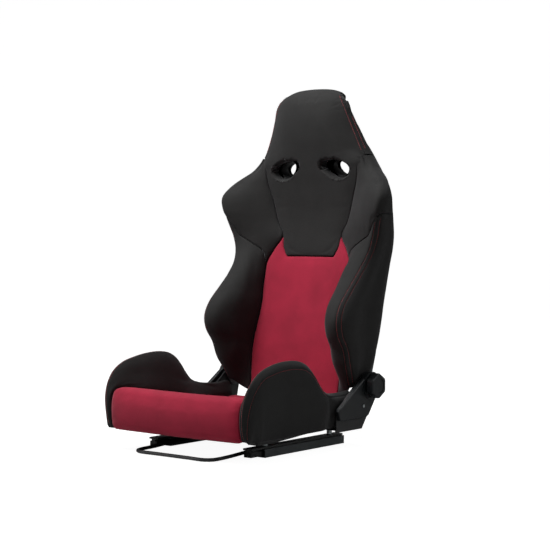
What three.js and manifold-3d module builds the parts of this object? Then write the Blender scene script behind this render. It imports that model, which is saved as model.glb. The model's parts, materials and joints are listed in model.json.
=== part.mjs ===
// Reclining racing seat on slide rails.  Millimetres, +Z up, the seat faces -Y, +X is the occupant's left.
import * as THREE from "three";
import { mergeVertices } from "three/addons/utils/BufferGeometryUtils.js";
import Module from "manifold-3d";

const wasm = await Module();
wasm.setup();

// ---- driving sizes ---------------------------------------------------------------------------------
const seatScaleX = 1;          // widens or narrows the upholstery
const backHeight = 985;        // top of the headrest above the floor
const padGap = 2;              // between neighbouring pads, where the covers are sewn together
const clearance = 0.4;         // between neighbouring hard pieces
const padDepth = 34;           // foam thickness of the backrest's centre
const railCentreX = 168.4;     // middle of each slide rail
const railWidth = 38.6;
const railHeight = 22;
const railWall = 2.6;
const railSlot = 18;           // slot along the top of the lower rail
const lowerRailFront = -173;
const lowerRailRear = 175;
const upperRailFront = -222;
const upperRailRear = 174;
const upperRailTop = 28;
const boltRadius = 4;
const boltFrontY = -150;
const boltRearY = 132;
const frontSpacer = 5.4;
const rearSpacer = 16;
const spacerRadius = 7.5;
const trayThickness = 3;
const cushionBase = 71;        // underside of the seat foam over the tray
const cushionRear = 164;
const pivotY = 200;            // recliner axis
const pivotZ = 165;
const shaftRadius = 6;
const armX = 232;              // inner face of the backrest's recliner arm
const plateThickness = 4.5;
const coverInnerX = 250.4;     // inner face of the plastic recliner cover
const coverThickness = 12.6;
const ringRadius = 38;
const knobDepth = 23;
const frameTubeRadius = 9;
const shellThickness = 4;
const handleRadius = 5;
const handleFrontY = -331;
const handlePivotY = -70;
const handlePivotZ = 17;

// ---- colours -----------------------------------------------------------------------------------------
const mat = (color, roughness, metalness) => new THREE.MeshStandardMaterial({ color, roughness, metalness });
const redFabric = mat(0x9c1f36, 0.9, 0);
const blackFabric = mat(0x242424, 0.85, 0);
const blackVinyl = mat(0x1b1b1c, 0.6, 0);
const blackPlastic = mat(0x1d2124, 0.4, 0);
const blackSteel = mat(0x161718, 0.35, 0.6);
const greySteel = mat(0x5b5f62, 0.4, 0.8);
const zinc = mat(0xa9b0b0, 0.3, 0.9);

const seat = new THREE.Group();
seat.name = "racing_seat";

function place(name, geometry, material) {
  const mesh = new THREE.Mesh(geometry, material);
  mesh.name = name;
  seat.add(mesh);
  return mesh;
}

// ---- solid helpers -----------------------------------------------------------------------------------
const V = (x, y, z) => new THREE.Vector3(x, y, z);
const lerp = (a, b, t) => a + (b - a) * t;
const clamp = (v, lo, hi) => Math.min(hi, Math.max(lo, v));
const smooth = (lo, hi, v) => {
  const t = clamp((v - lo) / (hi - lo), 0, 1);
  return t * t * (3 - 2 * t);
};

// A geometry as a manifold solid, and back.
function toSolid(geometry) {
  const plain = geometry.index ? geometry.toNonIndexed() : geometry.clone();
  plain.deleteAttribute("normal");
  plain.deleteAttribute("uv");
  const merged = mergeVertices(plain, 1e-3);
  return new wasm.Manifold(new wasm.Mesh({
    numProp: 3,
    vertProperties: merged.attributes.position.array,
    triVerts: new Uint32Array(merged.index.array),
  }));
}
function toGeometry(solid) {
  const m = solid.getMesh();
  const points = new Float32Array(m.numVert * 3);
  for (let i = 0; i < m.numVert; i++) {
    points.set(m.vertProperties.subarray(i * m.numProp, i * m.numProp + 3), i * 3);
  }
  const g = new THREE.BufferGeometry();
  g.setAttribute("position", new THREE.BufferAttribute(points, 3));
  g.setIndex(new THREE.BufferAttribute(new Uint32Array(m.triVerts), 1));
  g.computeVertexNormals();
  return g;
}
const join = (...gs) => toGeometry(gs.map(toSolid).reduce((a, b) => a.add(b)));
const cut = (g, ...tools) => toGeometry(tools.map(toSolid).reduce((a, b) => a.subtract(b), toSolid(g)));

// A closed solid between two grids of points with the same rows and columns.
function slab(outer, inner) {
  const rows = outer.length;
  const cols = outer[0].length;
  const points = [];
  for (const grid of [outer, inner]) for (const row of grid) for (const p of row) points.push(p.x, p.y, p.z);
  const at = (k, i, j) => (k * rows + i) * cols + j;
  const faces = [];
  const quad = (a, b, c, d) => faces.push(a, b, c, a, c, d);
  for (let i = 0; i + 1 < rows; i++) {
    for (let j = 0; j + 1 < cols; j++) {
      quad(at(0, i, j), at(0, i, j + 1), at(0, i + 1, j + 1), at(0, i + 1, j));
      quad(at(1, i, j), at(1, i + 1, j), at(1, i + 1, j + 1), at(1, i, j + 1));
    }
    quad(at(0, i + 1, 0), at(1, i + 1, 0), at(1, i, 0), at(0, i, 0));
    quad(at(0, i, cols - 1), at(1, i, cols - 1), at(1, i + 1, cols - 1), at(0, i + 1, cols - 1));
  }
  for (let j = 0; j + 1 < cols; j++) {
    quad(at(0, 0, j), at(1, 0, j), at(1, 0, j + 1), at(0, 0, j + 1));
    quad(at(0, rows - 1, j + 1), at(1, rows - 1, j + 1), at(1, rows - 1, j), at(0, rows - 1, j));
  }
  const g = new THREE.BufferGeometry();
  g.setAttribute("position", new THREE.BufferAttribute(new Float32Array(points), 3));
  g.setIndex(faces);
  // The grids may run either way round: the solid is turned to face out.
  let volume = 0;
  const p = (i) => V(points[3 * i], points[3 * i + 1], points[3 * i + 2]);
  for (let i = 0; i < faces.length; i += 3) volume += p(faces[i]).dot(p(faces[i + 1]).cross(p(faces[i + 2])));
  if (volume < 0) {
    for (let i = 0; i < faces.length; i += 3) [faces[i + 1], faces[i + 2]] = [faces[i + 2], faces[i + 1]];
    g.setIndex(faces);
  }
  g.computeVertexNormals();
  return g;
}

// The same geometry on the other side of the middle plane.
function mirrored(geometry) {
  const g = geometry.index ? geometry.toNonIndexed() : geometry.clone();
  const a = g.attributes.position.array;
  for (let i = 0; i < a.length; i += 9) {
    for (let k = 0; k < 9; k += 3) a[i + k] = -a[i + k];
    for (let k = 0; k < 3; k++) [a[i + 3 + k], a[i + 6 + k]] = [a[i + 6 + k], a[i + 3 + k]];
  }
  g.deleteAttribute("normal");
  g.deleteAttribute("uv");
  const merged = mergeVertices(g, 1e-3);
  merged.computeVertexNormals();
  return merged;
}
// One piece on each side: "left" is +X.
function pair(name, geometry, material) {
  place(name + "_left", geometry, material);
  place(name + "_right", mirrored(geometry), material);
}

function box(x0, x1, y0, y1, z0, z1) {
  const g = new THREE.BoxGeometry(x1 - x0, y1 - y0, z1 - z0);
  g.translate((x0 + x1) / 2, (y0 + y1) / 2, (z0 + z1) / 2);
  return g;
}
// A cylinder along X, Y or Z from a to b.
function rod(axis, radius, a, b, u, v, sides = 20) {
  const g = new THREE.CylinderGeometry(radius, radius, b - a, sides);
  if (axis === "x") g.rotateZ(-Math.PI / 2).translate((a + b) / 2, u, v);
  if (axis === "y") g.translate(u, (a + b) / 2, v);
  if (axis === "z") g.rotateX(Math.PI / 2).translate(u, v, (a + b) / 2);
  return g;
}
// An outline in the YZ plane drawn out along X from a to b, with an optional bevel on both edges.
function sideways(points, a, b, bevel = 0) {
  const outline = new THREE.Shape(points.map(([y, z]) => new THREE.Vector2(y, z)));
  const g = new THREE.ExtrudeGeometry(outline, {
    depth: b - a - 2 * bevel,
    bevelEnabled: bevel > 0,
    bevelThickness: bevel,
    bevelSize: bevel,
    bevelOffset: -bevel,
    bevelSegments: 2,
  });
  g.applyMatrix4(new THREE.Matrix4().set(0, 0, 1, a + bevel, 1, 0, 0, 0, 0, 1, 0, 0, 0, 0, 0, 1));
  return g;
}
// A round tube along a smooth path.
function tube(points, radius, steps, sides = 10) {
  const disc = new THREE.Shape();
  disc.absarc(0, 0, radius, 0, 2 * Math.PI, false);
  const path = new THREE.CatmullRomCurve3(points, false, "centripetal");
  return new THREE.ExtrudeGeometry(disc, { steps, extrudePath: path, curveSegments: Math.round(sides / 2) });
}
const circle = (cy, cz, r, from, to, n) => Array.from({ length: n + 1 }, (_, i) => {
  const t = lerp(from, to, i / n) * Math.PI / 180;
  return [cy + r * Math.cos(t), cz + r * Math.sin(t)];
});

// ---- the backrest's form -----------------------------------------------------------------------------
// Sections by height: seam half-width and depth, face depth, crest, side edge, rear middle, rear taper.
const sections = [
  //z    seamX seamY faceY crestX crestY sideY rearY taper
  [120, 160, 176, 177, 228, 165, 215, 246, 0],
  [148, 160, 182, 183, 229, 158, 222, 254, 0],
  [186, 163, 187, 189, 231, 142, 232, 264, 0],
  [225, 165, 193, 196, 233, 120, 244, 274, 0],
  [270, 165, 200, 204, 236, 104, 258, 288, 0],
  [309, 160, 208, 213, 238, 78, 268, 299, 0],
  [347, 156, 217, 222, 238, 72, 278, 310, 0],
  [386, 153, 226, 232, 235, 90, 291, 322, 0],
  [425, 155, 234, 241, 232, 129, 306, 334, 0],
  [463, 154, 241, 249, 231, 168, 318, 339, 0],
  [502, 151, 249, 257, 234, 200, 325, 342, 0],
  [540, 131, 259, 266, 243, 218, 324, 343, 0],
  [579, 107, 269, 273, 254, 220, 314, 343, 0],
  [618, 125, 272, 276, 268, 211, 291, 343, 0],
  [656, 137, 272, 276, 282, 203, 266, 343, 0],
  [695, 148, 270, 273, 286, 209, 255, 342, 0],
  [733, 160, 266, 269, 264, 240, 266, 341, 2],
  [772, 166, 263, 263, 215, 271, 302, 341, 8],
  [811, 162, 262, 256, 182, 277, 313, 342, 12],
  [868, 124, 254, 247, 154, 274, 296, 341, 22],
  [917, 108, 251, 244, 135, 267, 281, 335, 28],
  [950, 96, 254, 247, 120, 263, 273, 329, 30],
  [972, 84, 264, 256, 104, 266, 273, 325, 30],
  [985, 70, 280, 272, 84, 280, 284, 321, 24],
];
const topScale = backHeight / 985;
function section(height) {
  const z = height / topScale;
  const rows = sections;
  let i = 0;
  while (i < rows.length - 2 && z > rows[i + 1][0]) i++;
  const t = clamp((z - rows[i][0]) / (rows[i + 1][0] - rows[i][0]), 0, 1);
  const value = (k) => {
    const p1 = rows[i][k];
    const p2 = rows[i + 1][k];
    const before = rows[Math.max(i - 1, 0)];
    const after = rows[Math.min(i + 2, rows.length - 1)];
    const step = rows[i + 1][0] - rows[i][0];
    const m1 = step * (p2 - before[k]) / (rows[i + 1][0] - before[0]);
    const m2 = step * (after[k] - p1) / (after[0] - rows[i][0]);
    const t2 = t * t;
    const t3 = t2 * t;
    return (2 * t3 - 3 * t2 + 1) * p1 + (t3 - 2 * t2 + t) * m1 + (3 * t2 - 2 * t3) * p2 + (t3 - t2) * m2;
  };
  const [seamX, seamY, faceY, crestX, crestY, sideY, rearY, taper] = [1, 2, 3, 4, 5, 6, 7, 8].map(value);
  const wide = seatScaleX;
  const s = { seamX: seamX * wide, seamY, faceY, crestX: crestX * wide, crestY, sideY, rearY, taper };
  s.sideX = s.crestX + 10;
  s.swell = lerp(28, 7, smooth(470, 590, z)) * smooth(120, 260, z);
  s.rearX = s.sideX - 12 - 0.81 * taper;
  s.cornerY = sideY + 8 + taper;
  return s;
}
// Depth of the centre's face at a sideways position.
const faceDepth = (s, x) => lerp(s.faceY, s.seamY, clamp(Math.abs(x) / s.seamX, 0, 1) ** 2);

// The bolster from the seam, over the crest and down the outside to the rear corner.
const bolsterCols = 9;
function bolsterOuter(s, j) {
  const toX = s.crestX - 12 - s.seamX;
  const toY = s.crestY + 5 - s.seamY;
  const run = Math.hypot(toX, toY);
  const inner = (t, swell) => {
    const out = swell * s.swell;
    return [s.seamX + toX * t + out * toY / run, s.seamY + toY * t - out * toX / run];
  };
  const rows = [
    [s.seamX + padGap / 2, s.seamY],
    inner(0.34, 0.55),
    inner(0.68, 1),
    inner(0.96, 0.7),
    [s.crestX - 1, s.crestY],
    [s.sideX - 1.5, s.crestY + 12],
    [s.sideX, lerp(s.crestY + 12, s.sideY, 0.5)],
    [s.sideX - 2, s.sideY - 6],
    [s.rearX, s.cornerY],
  ];
  return rows[j];
}
function bolsterInner(s, j) {
  const t = j / (bolsterCols - 1);
  return [lerp(s.seamX + padGap / 2, s.rearX - 24, t), lerp(s.seamY + padDepth, s.cornerY, t)];
}
// A side pad between two edge heights given for each column.
function sidePad(low, high, rows) {
  const outer = [];
  const inner = [];
  for (let i = 0; i <= rows; i++) {
    const a = [];
    const b = [];
    for (let j = 0; j < bolsterCols; j++) {
      const z = lerp(low[j], high[j], i / rows) * topScale;
      const s = section(z);
      const p = bolsterOuter(s, j);
      const q = bolsterInner(s, j);
      a.push(V(p[0], p[1], z));
      b.push(V(q[0], q[1], z));
    }
    outer.push(a);
    inner.push(b);
  }
  return slab(outer, inner);
}

// ---- floor rails -------------------------------------------------------------------------------------
const railIn = railCentreX - railWidth / 2;
const railOut = railCentreX + railWidth / 2;
function lowerRail() {
  const half = railWidth / 2;
  const inner = half - railWall;
  const lip = railSlot / 2;
  const profile = [[-half, 0], [half, 0], [half, railHeight], [lip, railHeight], [lip, railHeight - railWall],
    [inner, railHeight - railWall], [inner, railWall], [-inner, railWall], [-inner, railHeight - railWall],
    [-lip, railHeight - railWall], [-lip, railHeight], [-half, railHeight]];
  const shape = new THREE.Shape(profile.map(([x, z]) => new THREE.Vector2(x, z)));
  const g = new THREE.ExtrudeGeometry(shape, { depth: lowerRailRear - lowerRailFront, bevelEnabled: false });
  g.rotateX(Math.PI / 2).translate(railCentreX, lowerRailRear, 0);
  const holes = [lowerRailFront + 35, lowerRailRear - 35].map((y) => rod("z", 4.5, -1, 10, railCentreX, y, 16));
  const teeth = [];
  for (let i = 0; i < 9; i++) {
    const y = -70 + i * 22;
    teeth.push(box(railIn - 1, railIn + railWall + 0.5, y - 5, y + 5, 8, 15));
  }
  return cut(g, ...holes, ...teeth);
}
pair("floor_rail", lowerRail(), greySteel);

// The sliding rail: a foot held under the lips, a web through the slot and a top flange.
function upperRail() {
  const foot = 12;
  const web = 6.5;
  const top = 15;
  const footLow = railWall + 2;
  const footHigh = railHeight - railWall - 1.5;
  const flangeLow = railHeight + 1;
  const profile = [[-foot, footLow], [foot, footLow], [foot, footHigh], [web, footHigh], [web, flangeLow],
    [top, flangeLow], [top, upperRailTop], [-top, upperRailTop], [-top, flangeLow], [-web, flangeLow],
    [-web, footHigh], [-foot, footHigh]];
  const shape = new THREE.Shape(profile.map(([x, z]) => new THREE.Vector2(x, z)));
  const g = new THREE.ExtrudeGeometry(shape, { depth: upperRailRear - upperRailFront, bevelEnabled: false });
  g.rotateX(Math.PI / 2).translate(railCentreX, upperRailRear, 0);
  const holes = [boltFrontY, boltRearY].map((y) => rod("z", boltRadius + 0.3, 14, 40, railCentreX, y, 16));
  return cut(g, ...holes);
}
pair("slide_rail", upperRail(), blackSteel);

// ---- seat base ---------------------------------------------------------------------------------------
const bracketLow = upperRailTop + clearance + rearSpacer + clearance;
const channelRearLow = bracketLow + plateThickness - 1 + clearance;
const channelFrontLow = upperRailTop + clearance + frontSpacer + clearance;
const channelTop = 60;
const channelFrontY = -200;
const channelRearY = 182;
const channelFlatY = boltRearY - 38;
function baseTray() {
  const flatY = channelFlatY;
  const low = [[channelFrontY, channelFrontLow], [boltFrontY + 14, channelFrontLow], [flatY, channelRearLow],
    [channelRearY, channelRearLow]];
  const half = 17;
  const side = sideways([...low, [channelRearY, channelTop + 1], [channelFrontY, channelTop + 1]],
    railCentreX - half, railCentreX + half);
  const floor = 3;
  const pocket = sideways([
    [channelFrontY + 3, channelFrontLow + floor], [boltFrontY + 14, channelFrontLow + floor],
    [flatY, channelRearLow + floor], [channelRearY - 3, channelRearLow + floor],
    [channelRearY - 3, channelTop + 20], [channelFrontY + 3, channelTop + 20]],
    railCentreX - half + 3, railCentreX + half - 3);
  const outline = new THREE.Shape();
  const wide = 205;
  const front = -276;
  outline.moveTo(-wide + 30, front).lineTo(wide - 30, front).lineTo(wide, front + 40);
  outline.lineTo(wide, cushionRear - 4).lineTo(-wide, cushionRear - 4).lineTo(-wide, front + 40);
  outline.closePath();
  const opening = new THREE.Path();
  opening.moveTo(-118, -140).lineTo(-130, -128).lineTo(-130, 98).lineTo(-118, 110);
  opening.lineTo(118, 110).lineTo(130, 98).lineTo(130, -128).lineTo(118, -140).closePath();
  outline.holes.push(opening);
  const plate = new THREE.ExtrudeGeometry(outline, { depth: trayThickness, bevelEnabled: false });
  plate.translate(0, 0, channelTop);
  const holes = [];
  for (const x of [-railCentreX, railCentreX]) {
    for (const y of [boltFrontY, boltRearY]) holes.push(rod("z", boltRadius + 0.5, 20, 58, x, y, 16));
  }
  const left = cut(side, pocket);
  return cut(join(left, mirrored(left), plate), ...holes);
}
place("base_tray", baseTray(), blackSteel);

// Zigzag springs across the tray's opening carry the cushion.
function zigzag(x, width, turns) {
  const pts = [];
  const from = -150;
  const to = 120;
  for (let i = 0; i <= turns; i++) {
    const y = lerp(from, to, i / turns);
    const side = i === 0 || i === turns ? 0 : (i % 2 ? 1 : -1) * width;
    pts.push(V(x + side, y, channelTop + trayThickness + 2.6));
  }
  return tube(pts, 1.8, turns * 3, 6);
}
[-87, -29, 29, 87].forEach((x, i) => place("cushion_spring_" + (i + 1), zigzag(x, 20, 11), greySteel));

// Rail bolts with their spacers, the front ones short and the rear ones tall.
function boltAt(y, floorZ) {
  const head = new THREE.CylinderGeometry(6.5, 6.5, 5, 6);
  head.rotateX(Math.PI / 2).translate(railCentreX, y, floorZ + 0.6 + 2.5);
  return join(head, rod("z", boltRadius, upperRailTop - 6, floorZ + 1, railCentreX, y, 16));
}
function spacerAt(y, height) {
  const low = upperRailTop + clearance;
  const ring = rod("z", spacerRadius, low, low + height, railCentreX, y, 24);
  return cut(ring, rod("z", boltRadius + 0.3, low - 1, low + height + 1, railCentreX, y, 16));
}
pair("rail_bolt_front", boltAt(boltFrontY, channelFrontLow + 3), zinc);
pair("rail_bolt_rear", boltAt(boltRearY, channelRearLow + 3), zinc);
pair("rail_spacer_front", spacerAt(boltFrontY, frontSpacer), zinc);
pair("rail_spacer_rear", spacerAt(boltRearY, rearSpacer), zinc);

// Recliner base: an upright plate outside the cushion with a foot bolted between the tray and the spacer.
const baseX = armX + plateThickness + 2.4;
function reclinerBase() {
  const disc = circle(pivotY, pivotZ, 33, -38, 140, 16);
  const upright = sideways([[64, bracketLow], [182, bracketLow], [212, 84], ...disc, [64, 100]],
    baseX, baseX + plateThickness);
  const foot = box(railCentreX - 16, baseX + 1, 98, 178, bracketLow, bracketLow + plateThickness - 1);
  const shaftHole = rod("x", shaftRadius + 0.4, baseX - 5, baseX + 9, pivotY, pivotZ, 24);
  const boltHole = rod("z", boltRadius + 0.4, bracketLow - 2, bracketLow + 8, railCentreX, boltRearY, 16);
  return cut(join(upright, foot), shaftHole, boltHole);
}
pair("recliner_base", reclinerBase(), blackSteel);

// Plastic cover over each recliner: a wedge with a raised ring round the axis, open towards the seat.
function reclinerCover() {
  const bevel = 3.5;
  const outline = [[56, 80], [70, 77], [176, 77], [190, 84], [226, 132],
    ...circle(pivotY, pivotZ, ringRadius - 2, -20, 128, 14), [54, 112], [50, 104]];
  const body = sideways(outline, coverInnerX, coverInnerX + coverThickness, bevel);
  const ring = rod("x", ringRadius, coverInnerX + 0.01, coverInnerX + coverThickness + 3, pivotY, pivotZ, 40);
  const dish = rod("x", ringRadius - 5, coverInnerX + coverThickness + 0.6, 400, pivotY, pivotZ, 40);
  const hollowOutline = [[66, 86], [172, 83], [186, 90], [214, 132],
    ...circle(pivotY, pivotZ, ringRadius - 8, -20, 128, 12), [62, 106]];
  const hollow = sideways(hollowOutline, coverInnerX - 5, coverInnerX + coverThickness - 3);
  const shaftHole = rod("x", shaftRadius + 1, 200, 400, pivotY, pivotZ, 24);
  const screwHole = rod("x", 2.6, 200, 400, 162, 111, 16);
  return cut(join(body, ring), hollow, dish, shaftHole, screwHole);
}
pair("recliner_cover", reclinerCover(), blackPlastic);
function coverScrew() {
  const outer = coverInnerX + coverThickness;
  return join(rod("x", 4.4, outer + 0.3, outer + 2.3, 162, 111, 16),
    rod("x", 2.1, baseX + plateThickness + 0.4, outer + 1, 162, 111, 12));
}
pair("cover_screw", coverScrew(), zinc);

// ---- cushion -----------------------------------------------------------------------------------------
const cushionSeam = 208 * seatScaleX;
const cushionSide = 256 * seatScaleX;
// Top of the cushion's centre, front to rear.
const topLine = (y) => 169 - 25 * smooth(-285, -60, y) + 4 * smooth(60, 160, y);
function cushionCentre() {
  const front = [[-308, 52], [-317, 62], [-323, 88], [-324, 116], [-320, 143], [-309, 161], [-291, 168]];
  const rear = [-250, -200, -140, -80, -20, 40, 100, cushionRear - 8].map((y) => [y, topLine(y)]);
  const outerLine = [...front, ...rear, [cushionRear, topLine(cushionRear) - 8]];
  const n = outerLine.length;
  const innerFront = [[-284, 54], [-282, 60], [-281, 66], [-280, cushionBase], [-270, cushionBase]];
  const innerLine = [...innerFront];
  for (let i = innerFront.length; i < n; i++) {
    innerLine.push([lerp(-260, cushionRear, (i - innerFront.length) / (n - 1 - innerFront.length)), cushionBase]);
  }
  const cols = 10;
  const grid = (line, crown) => line.map(([y, z], i) => Array.from({ length: cols + 1 }, (_, j) => {
    const t = lerp(-1, 1, j / cols);
    const edge = crown * t * t;
    const lift = edge * 3 * smooth(1, 6, i);
    const back = edge * 14 * (1 - smooth(4, 8, i));
    return V(t * (cushionSeam - padGap / 2), y + back, z + lift);
  }));
  return slab(grid(outerLine, 1), grid(innerLine, 0));
}
place("cushion_center", cushionCentre(), redFabric);

// Crest height of the thigh bolsters, front to rear.
const crestLine = [[235, -306, 60], [238, -315, 86], [242, -321, 115], [246, -319, 148], [248, -309, 179],
  [248, -290, 209], [246, -260, 232], [242, -215, 246], [240, -165, 253], [240, -120, 253], [240, -86, 247],
  [240, -60, 234], [240, -40, 215], [240, -20, 190], [239, 4, 166], [232, 34, 154], [222, 70, 150],
  [221, 110, 149], [221, 150, 150], [221, cushionRear, 142]];
function cushionBolster() {
  const outer = [];
  const inner = [];
  const lowest = 54;
  const seamX = cushionSeam + padGap / 2;
  const seamFront = [[-303, 57], [-308, 84], [-309, 112], [-304, 140], [-294, 160], [-282, 169]];
  crestLine.forEach(([crest, y, z], i) => {
    const f = i / (crestLine.length - 1);
    const crestX = crest * seatScaleX;
    const flank = lerp(crest + 10, 237.5, smooth(4, 44, y)) * seatScaleX;
    const [seamY, seamZ] = i < seamFront.length ? seamFront[i] : [Math.max(y, -270), topLine(Math.max(y, -270)) + 5];
    const low = Math.min(z - 4, lowest + 2 * f);
    const tuck = Math.max(y + 5, -302 + 8 * i);
    const lift = 0.02 * Math.max(0, z - seamZ);
    outer.push([
      V(seamX, seamY, seamZ),
      V(lerp(seamX, crestX, 0.35), lerp(seamY, y, 0.55), lerp(seamZ, z, 0.42)),
      V(lerp(seamX, crestX, 0.72), lerp(seamY, y, 0.9), lerp(seamZ, z, 0.86) + lift),
      V(crestX - 3, y, z),
      V(crestX + 5, lerp(y, tuck, 0.25), lerp(z, low, 0.05)),
      V(flank, lerp(y, tuck, 0.5), lerp(z, low, 0.22)),
      V(flank, lerp(y, tuck, 0.85), lerp(z, low, 0.6)),
      V(flank - 5, tuck, low),
    ]);
    const back = Math.max(y, -276 + 2 * i);
    const deep = Math.min(cushionBase, Math.max(z - 12, low + 0.5), seamZ - 6);
    const at = (dx, drop) => V(seamX + dx * seatScaleX, back, lerp(deep, low, drop));
    inner.push([at(0, 0), at(3, 0), at(6, 0), at(9, 0), at(11, 0), at(13, 0.4), at(14, 0.8), at(14.5, 1)]);
  });
  return slab(outer, inner);
}
pair("cushion_bolster", cushionBolster(), blackFabric);

// ---- backrest ----------------------------------------------------------------------------------------
const shaftRoom = rod("x", 14, -400, 400, pivotY, pivotZ, 24);
const notchLow = 519 * topScale;
const notchHigh = 577 * topScale;
// Where the red centre ends and the black panel above it begins, by the share of the seam half-width.
const panelEdge = (t) => lerp(notchLow, notchHigh, clamp((Math.abs(t) - 0.6) / 0.4, 0, 1));

function centrePad(cols, rows, lowEdge, highEdge, edgeGapLow, edgeGapHigh) {
  const outer = [];
  const inner = [];
  for (let i = 0; i <= rows; i++) {
    const a = [];
    const b = [];
    for (let j = 0; j <= cols; j++) {
      const t = lerp(-1, 1, j / cols);
      const z = lerp(lowEdge(t) + edgeGapLow, highEdge(t) - edgeGapHigh, i / rows);
      const s = section(z);
      const x = t * (s.seamX - padGap / 2);
      a.push(V(x, faceDepth(s, x), z));
      b.push(V(x, s.seamY + padDepth, z));
    }
    outer.push(a);
    inner.push(b);
  }
  return slab(outer, inner);
}
place("back_center", cut(centrePad(10, 20, () => 141, panelEdge, 0, 1), shaftRoom), redFabric);

// Harness slots through the backrest, left of the middle; the right one is its mirror image.
const slotOutline = [[43, 792], [58, 797], [84, 797], [108, 793], [130, 782], [138, 768], [134, 756], [122, 747],
  [102, 743], [80, 748], [62, 758], [46, 770], [40, 781]].map(([x, z]) => [x * seatScaleX, z * topScale]);
const slotMiddle = [89 * seatScaleX, 771 * topScale];
function slotPrism(y0, y1, grow, side) {
  const shape = new THREE.Shape(slotOutline.map(([x, z]) => {
    const dx = x - slotMiddle[0];
    const dz = z - slotMiddle[1];
    const r = Math.hypot(dx, dz);
    return new THREE.Vector2(side * (slotMiddle[0] + dx * (1 + grow / r)), slotMiddle[1] + dz * (1 + grow / r));
  }));
  const g = new THREE.ExtrudeGeometry(shape, { depth: y1 - y0, bevelEnabled: false });
  return g.rotateX(Math.PI / 2).translate(0, y1, 0);
}
const slotCuts = (y0, y1, grow) => [slotPrism(y0, y1, grow, 1), slotPrism(y0, y1, grow, -1)];

// Headrest: the full width above the shoulders.
const neckTop = 812 * topScale;
const headPadDepth = 46;
function headPad() {
  const half = (z) => {
    const s = section(z);
    const share = [0, 0.3, 0.58, 0.82];
    const front = share.map((f) => [f * s.crestX, lerp(s.faceY, s.crestY - 1, f ** 3.4)]);
    const outer = [...front, [s.crestX, s.crestY], [s.sideX - 1, s.crestY + 9], [s.sideX - 3, s.sideY - 1],
      [s.rearX, s.cornerY]];
    const inner = outer.map((_, j) => {
      const f = j / (outer.length - 1);
      return [f * (s.rearX - 20), lerp(s.faceY + headPadDepth, s.cornerY, f)];
    });
    return { outer, inner };
  };
  const heights = [];
  for (let i = 0; i <= 12; i++) heights.push(lerp(neckTop - 4, backHeight - 24, i / 12));
  heights.push(backHeight - 13, backHeight - 5, backHeight);
  const line = (pts, z) => {
    const drop = 16 * smooth(backHeight - 60, backHeight, z);
    const last = pts[pts.length - 1][0];
    const right = pts.slice(1).map(([x, y]) => V(x, y, z - drop * Math.min(1, x / last) ** 3));
    return [...right.map((p) => V(-p.x, p.y, p.z)).reverse(), V(0, pts[0][1], z), ...right];
  };
  const outer = heights.map((z) => line(half(z).outer, z));
  const inner = heights.map((z, i) => line(half(z).inner, z - 14 * smooth(9, 15, i)));
  return slab(outer, inner);
}
const neckPad = centrePad(12, 18, panelEdge, () => neckTop, 1, 0);
place("back_upper", cut(join(neckPad, headPad()), ...slotCuts(150, 420, 3.4)), blackFabric);

// Wings at the shoulders and lumbar bolsters below them, split by a seam that climbs outwards.
const splitLine = [499, 513, 531, 553, 564, 567, 570, 573, 577];
const lumbarLow = [148, 158, 171, 184, 188, 193, 200, 207, 213];
const wingTop = bolsterTop();
function bolsterTop() {
  return Array.from({ length: bolsterCols }, () => 808 - padGap);
}
const armReach = 86;
function armOutline(grow) {
  const tip = 26 + grow;
  return [...circle(pivotY, pivotZ, 30 + grow, 160, 350, 14), [260 + grow, pivotZ + armReach],
    [260 + grow, pivotZ + armReach + 12 + grow], [254 - tip, pivotZ + armReach + 12 + grow]];
}
const crossbarY = 245;
const crossbarZ = pivotZ + armReach - 4;
const armRoom = sideways(armOutline(2), armX - 2, armX + plateThickness + 2);
const crossbarRoom = rod("x", frameTubeRadius + 2, 100, armX + 1, crossbarY, crossbarZ, 16);
const lumbarTop = splitLine.map((z) => z - padGap / 2);
pair("back_lumbar", cut(sidePad(lumbarLow, lumbarTop, 18), shaftRoom, armRoom, crossbarRoom), blackFabric);
pair("back_wing", sidePad(splitLine.map((z) => z + padGap / 2), wingTop, 16), blackFabric);

// Rear cover, open at the bottom, with the harness slots through it.
function rearShell() {
  const cols = 14;
  const rows = 22;
  const outer = [];
  const inner = [];
  for (let i = 0; i <= rows; i++) {
    const z = lerp(222, backHeight - 7, i / rows);
    const s = section(z);
    const a = [];
    const b = [];
    for (let j = 0; j <= cols; j++) {
      const t = lerp(-1, 1, j / cols);
      const bulge = 1 - Math.abs(t) ** 2.6;
      const x = t * s.rearX;
      a.push(V(x, lerp(s.cornerY + 5, s.rearY, bulge), z));
      b.push(V(t * (s.rearX - 1), lerp(s.cornerY + 2.4, s.rearY - shellThickness, bulge), z));
    }
    outer.push(a);
    inner.push(b);
  }
  return cut(slab(outer, inner), ...slotCuts(150, 420, 3.4));
}
place("back_shell", rearShell(), blackVinyl);

// Fabric-covered sleeves line the harness slots between the pad and the rear cover.
function slotSleeve(side) {
  return cut(slotPrism(270, 334, 3, side), slotPrism(200, 400, 0, side));
}
place("harness_sleeve_left", slotSleeve(1), blackVinyl);
place("harness_sleeve_right", slotSleeve(-1), blackVinyl);

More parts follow.
